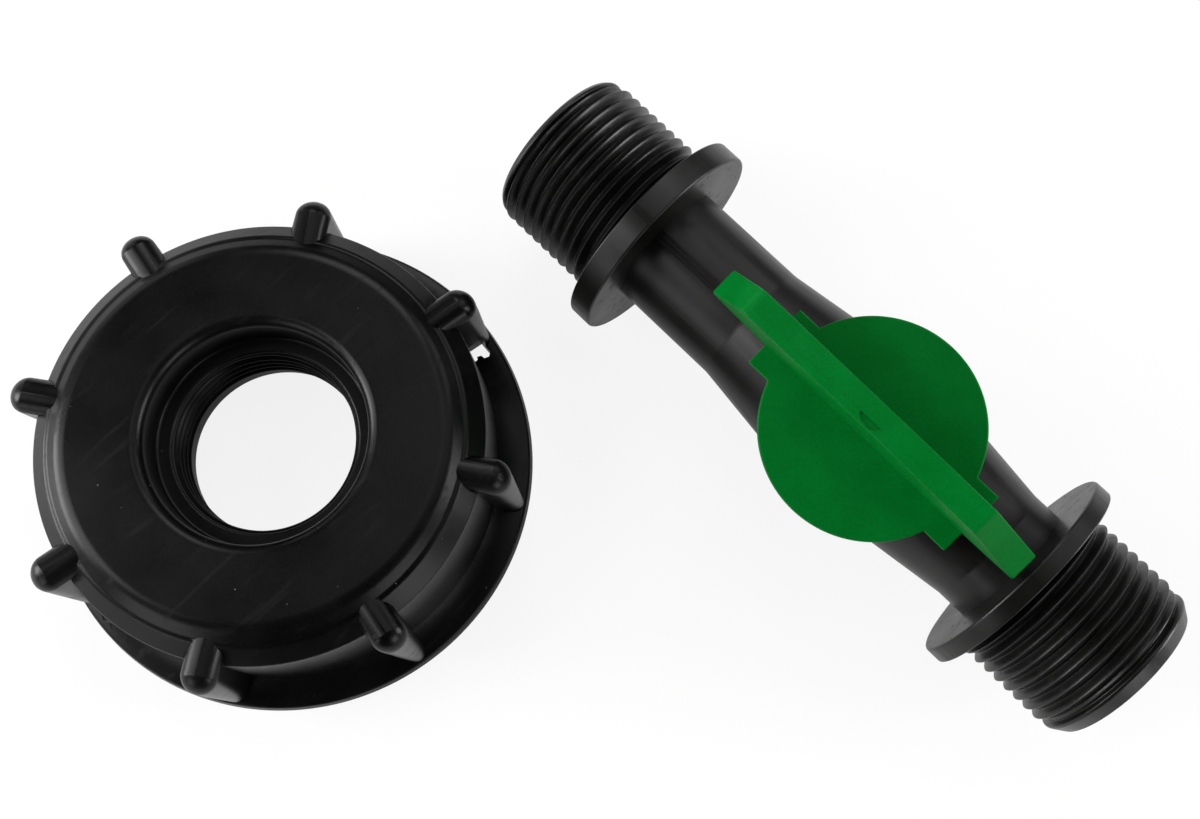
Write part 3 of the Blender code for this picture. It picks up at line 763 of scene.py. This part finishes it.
wallFoot = Vector((cap["flangeRise"], cap["footRadius"]))
bend = Vector(cap["flangeBend"])
flangeCurve = [tuple(rim.lerp(bend, share).lerp(bend.lerp(wallFoot, share), share))
               for share in [k / cap["flangeSteps"] for k in range(cap["flangeSteps"] + 1)]]
top = cap["height"]
plateBase = top - cap["plate"]
recessFloor = top - cap["recessDepth"]
cavity = cap["edgeRadius"] - cap["wall"]
boss = cap["boreRadius"] + cap["bossWall"]
neck = cap["recessRadius"] + cap["neckWall"]
neckFoot = recessFloor - cap["neckWall"]
capOutline = ([(0.0, cavity + cap["cavityFlare"]),
               (0.0, cap["flangeRadius"], cap["rimFootEdge"])]
              + [flangeCurve[0] + (cap["rimEdge"],)] + flangeCurve[2:]
              + [(cap["edgeHeight"], cap["edgeRadius"], cap["edgeRounding"]),
                 cap["ledgeOutside"] + (cap["ledgeRounding"],),
                 cap["ledgeInside"] + (cap["ledgeRounding"],),
                 (top, cap["flatRadius"], cap["flatRounding"]),
                 (top, cap["recessRadius"], cap["recessLip"]),
                 (recessFloor, cap["recessRadius"], cap["boreEdge"]),
                 (recessFloor, cap["boreRoot"], cap["boreEdge"]),
                 (cap["bossFoot"], cap["boreRoot"], cap["bossEdge"]),
                 (cap["bossFoot"], boss, cap["bossEdge"]),
                 (neckFoot, boss), (neckFoot + cap["neckRise"], neck), (plateBase, neck),
                 (plateBase, cavity, cap["bossEdge"]), (cap["cavityFoot"], cavity)])
adapterCap = addPiece("adapterCap",
                      turnedForm(roundedOutline(capOutline, cap["segments"]), cap["steps"]),
                      scuffedAndShadedPolypropylene)
print("cap turned")

# lugs: ridges across the shoulder, wide on top, with a nose that narrows towards its foot
lug = {
    "count": 8, "halfWidth": 2.6 * mm, "crest": 24.5 * mm, "crestRise": 2.2 * mm,
    "crestReach": 36.2 * mm, "footReach": 37.1 * mm, "footHalf": 1.5 * mm,
    "footHeight": 0.9 * mm, "wallRoot": 30.6 * mm, "plateRoot": 25.0 * mm,
    # the nose's length for its half width, at the foot and on top
    "taper": (1.2, 1.0),
    "archMiddle": 30.0 * mm, "archPerMm": 0.03, "archedFrom": 7,
    "rings": 8, "noseSteps": 20, "crestSweep": 88,
}


def between(first, last, share):
    return first + (last - first) * share


def lugRing(root, reach, half, taper, level, arched):
    ring = [(root, half)]
    for i in range(lug["noseSteps"] + 1):
        turn = math.radians(90 - 180 * i / lug["noseSteps"])
        ring.append((reach - taper + taper * math.cos(turn), half * math.sin(turn)))
    ring.append((root, -half))
    arch = lug["archPerMm"] / mm * arched
    return [(r, across, level - arch * (r - lug["archMiddle"]) ** 2) for r, across in ring]


def lugForm():
    sideTop = lug["crest"] - lug["crestRise"]
    rings = []
    for k in range(lug["rings"] + 1):
        share = k / lug["rings"]
        half = between(lug["footHalf"], lug["halfWidth"], share)
        rings.append(lugRing(lug["wallRoot"], between(lug["footReach"], lug["crestReach"], share),
                             half, half * between(*lug["taper"], share),
                             between(lug["footHeight"], sideTop, share),
                             share if k >= lug["archedFrom"] else 0.0))
    for k in range(1, lug["rings"] + 1):
        lift = math.radians(lug["crestSweep"]) * k / lug["rings"]
        half = lug["halfWidth"] * math.cos(lift)
        rings.append(lugRing(lug["plateRoot"], lug["crestReach"] - lug["halfWidth"] + half, half,
                             half, sideTop + lug["crestRise"] * math.sin(lift), 1.0))
    return loftedForm(rings)


lugPiece = addPiece("lugStart", lugForm())
lugTree, given = newTree("lugRing", {"Lug": "Object", "Count": "Int", "Material": "Material"})
source = addNode(lugTree, "GeometryNodeObjectInfo", {"Object": given["Lug"]}).outputs["Geometry"]
marks = addNode(lugTree, "GeometryNodeMeshLine",
                {"Count": given["Count"], "Offset": (0, 0, 0)}).outputs[0]
index = addNode(lugTree, "GeometryNodeInputIndex").outputs[0]
turnBy = calc(lugTree, "MULTIPLY", index, calc(lugTree, "DIVIDE", math.tau, given["Count"]))
spun = addNode(lugTree, "GeometryNodeInstanceOnPoints",
               {"Points": marks, "Instance": source,
                "Rotation": joinXYZ(lugTree, {2: turnBy})}).outputs[0]
realizeAndPaint(lugTree, spun, given["Material"])
lugs = evaluateTree("gripLugs", lugTree,
                    {"Lug": lugPiece, "Count": lug["count"], "Material": scuffedAndShadedPolypropylene})
bpy.data.objects.remove(lugPiece)
combine(adapterCap, [lugs], "UNION")

# two torn windows beside opposite lugs: (from the axis, aside from the lug's middle) in mm
window = {
    "lugAngle": math.radians(45), "cut": (-2 * mm, 8 * mm),
    "open": [(32.7, 0.2), (35.5, 0.2), (35.7, 2.6), (35.1, 3.2), (34.3, 3.1), (34.1, 2.5),
             (33.4, 2.4), (33.2, 2.9), (32.7, 3.0)],
    "slot": [(33.3, 2.1), (36.0, 2.1), (35.6, 3.0), (34.8, 4.4), (33.3, 4.9)],
    "crack": [(36.0, 2.1), (36.4, 2.1), (36.1, 3.4), (36.3, 4.2), (35.7, 5.3), (35.9, 6.2),
              (35.5, 5.4), (36.0, 4.2), (35.8, 3.3)],
}


def windowCutter(points, end):
    aim = Vector((math.cos(window["lugAngle"]), math.sin(window["lugAngle"]), 0))
    side = Vector((aim.y, -aim.x, 0))
    corners = [aim * (end * out * mm) + side * (aside * mm) for out, aside in points]
    return addPiece("window", loftedForm(
        [[c + Vector((0, 0, z)) for c in corners] for z in window["cut"]]))


combine(adapterCap, [windowCutter(window["open"], 1), windowCutter(window["slot"], -1),
                     windowCutter(window["crack"], -1)], "DIFFERENCE")
finishPiece(adapterCap, capPlace, "cap", "adapter_cap")
print("cap made")

# the cap's two threads: in the bore, and the coarse one that takes the tank's outlet
capThread = {
    "sink": 0.02 * mm, "wall": 0.8 * mm, "boreRunout": 0.8 * mm, "boreGap": 0.3 * mm,
    "tankFoot": 2.5 * mm, "tankLength": 15.0 * mm, "tankPitch": 6.0 * mm,
    "tankCrest": 28.3 * mm, "tankRunout": 2.5 * mm, "tankSteps": 193,
}
boreThreadFoot = cap["bossFoot"] + cap["boreFoot"]


def capThreadPiece(name, foot, length, pitch, crest, root, runout, steps):
    threadPiece(name, {
        "Length": length, "Pitch": pitch, "Crest Radius": crest,
        "Root Radius": root + capThread["sink"], "Wall Radius": root + capThread["wall"],
        "Start Runout": runout, "End Runout": runout, "Steps": steps,
        "Material": scuffedAndShadedPolypropylene},
        capPlace @ Matrix.Translation((0, 0, foot)) @ Matrix.Rotation(-math.pi / 2, 4, "Y"),
        "cap")


capThreadPiece("boreThread", boreThreadFoot, recessFloor - boreThreadFoot - capThread["boreGap"],
               body["threadPitch"], cap["boreRadius"], cap["boreRoot"], capThread["boreRunout"],
               body["threadSteps"])
capThreadPiece("tankThread", capThread["tankFoot"], capThread["tankLength"],
               capThread["tankPitch"], capThread["tankCrest"], cavity, capThread["tankRunout"],
               capThread["tankSteps"])
print("cap threads made")

for node in ("upper_o_ring", "lower_o_ring", "inlet_seat_seal", "outlet_seat_seal",
             "adapter_gasket"):
    frame["nodes"][node].data.materials.clear()
    frame["nodes"][node].data.materials.append(nitrileRubber)

# floor: matt and pale, with a plain glow mixed in where the camera or a gloss sees it
ground = {"colour": "#f2f2f1", "roughness": 0.9, "specular": 0.1, "half": 1.5, "depth": 0.01,
          "cameraGlow": 0.86, "mirrorGlow": 0.34}
white = (1, 1, 1, 1)
floorMaterial, tree, shader = newMaterial("paleFloor")
setInputs(tree, shader, {"Base Color": hexColour(ground["colour"]),
                         "Roughness": ground["roughness"],
                         "Specular IOR Level": ground["specular"]})
glow = addNode(tree, "ShaderNodeEmission", {"Color": white, "Strength": 1.0})
ray = addNode(tree, "ShaderNodeLightPath").outputs
share = calc(tree, "MAXIMUM",
             calc(tree, "MULTIPLY", ray["Is Camera Ray"], ground["cameraGlow"]),
             calc(tree, "MULTIPLY", ray["Is Glossy Ray"], ground["mirrorGlow"]))
mixed = addNode(tree, "ShaderNodeMixShader", {0: share, 1: shader.outputs[0],
                                              2: glow.outputs[0]})
addNode(tree, "ShaderNodeOutputMaterial", {"Surface": mixed.outputs[0]}).is_active_output = True
floor = addPiece("floor", blockForm((-ground["half"], -ground["half"], -ground["depth"]),
                                    (ground["half"], ground["half"], 0.0)), floorMaterial)

# softboxes round the part, strongest and lowest at the picture's left and right
light = {"room": 0.03, "distance": 0.8, "size": 0.35, "pictureTurn": 45.13}
softboxes = {
    # direction in the picture, counted from its right, height above the floor, watts
    "left": (180, 18, 5.76), "right": (0, 18, 4.62), "leftHigh": (180, 45, 2.72),
    "lowerRight": (315, 20, 1.8), "back": (90, 48, 1.7), "lowerLeft": (225, 18, 1.16),
    "upperRight": (45, 35, 0.8), "upperLeft": (135, 18, 0.5), "top": (80, 78, 0.5),
    "rightHigh": (20, 60, 0.4)}
world = bpy.data.worlds.new("softStudio")
bpy.context.scene.world = world
world.use_nodes = True
tree = world.node_tree
tree.nodes.clear()
room = addNode(tree, "ShaderNodeBackground", {"Color": white, "Strength": light["room"]})
backdrop = addNode(tree, "ShaderNodeBackground", {"Color": white, "Strength": 1.0})
seen = addNode(tree, "ShaderNodeLightPath").outputs["Is Camera Ray"]
mixed = addNode(tree, "ShaderNodeMixShader", {0: seen, 1: room.outputs[0],
                                              2: backdrop.outputs[0]})
addNode(tree, "ShaderNodeOutputWorld", {"Surface": mixed.outputs[0]})


def softbox(name, direction, height, watts):
    turn = math.radians(direction + light["pictureTurn"])
    lift = math.radians(height)
    aim = Vector((math.cos(turn) * math.cos(lift), math.sin(turn) * math.cos(lift),
                  math.sin(lift)))
    lamp = bpy.data.lights.new(name, "AREA")
    lamp.shape = "SQUARE"
    lamp.size = light["size"]
    lamp.energy = watts
    holder = bpy.data.objects.new(name, lamp)
    bpy.context.scene.collection.objects.link(holder)
    holder.location = aim * light["distance"]
    holder.rotation_euler = aim.to_track_quat("Z", "Y").to_euler()
    holder.visible_camera = False


for name, (direction, height, watts) in softboxes.items():
    softbox(name, direction, height, watts)

# camera, as fitted to the photo: turned about Z, tilted about X, then rolled about Y
view = {"lens": 36.763, "sensor": 36.0, "nearest": 0.01,
        "place": (23.255 * mm, -15.476 * mm, 191.617 * mm),
        "turns": ((45.1276, "Z"), (13.6485, "X"), (-0.7690, "Y"))}
cameraData = bpy.data.cameras.new("camera")
cameraData.lens = view["lens"]
cameraData.sensor_width = view["sensor"]
cameraData.sensor_fit = "HORIZONTAL"
cameraData.clip_start = view["nearest"]
camera = bpy.data.objects.new("camera", cameraData)
bpy.context.scene.collection.objects.link(camera)
cameraPlace = Matrix.Translation(view["place"])
for degrees, axis in view["turns"]:
    cameraPlace = cameraPlace @ Matrix.Rotation(math.radians(degrees), 4, axis)
camera.matrix_world = cameraPlace
bpy.context.scene.camera = camera
bpy.context.scene.view_settings.view_transform = "Standard"
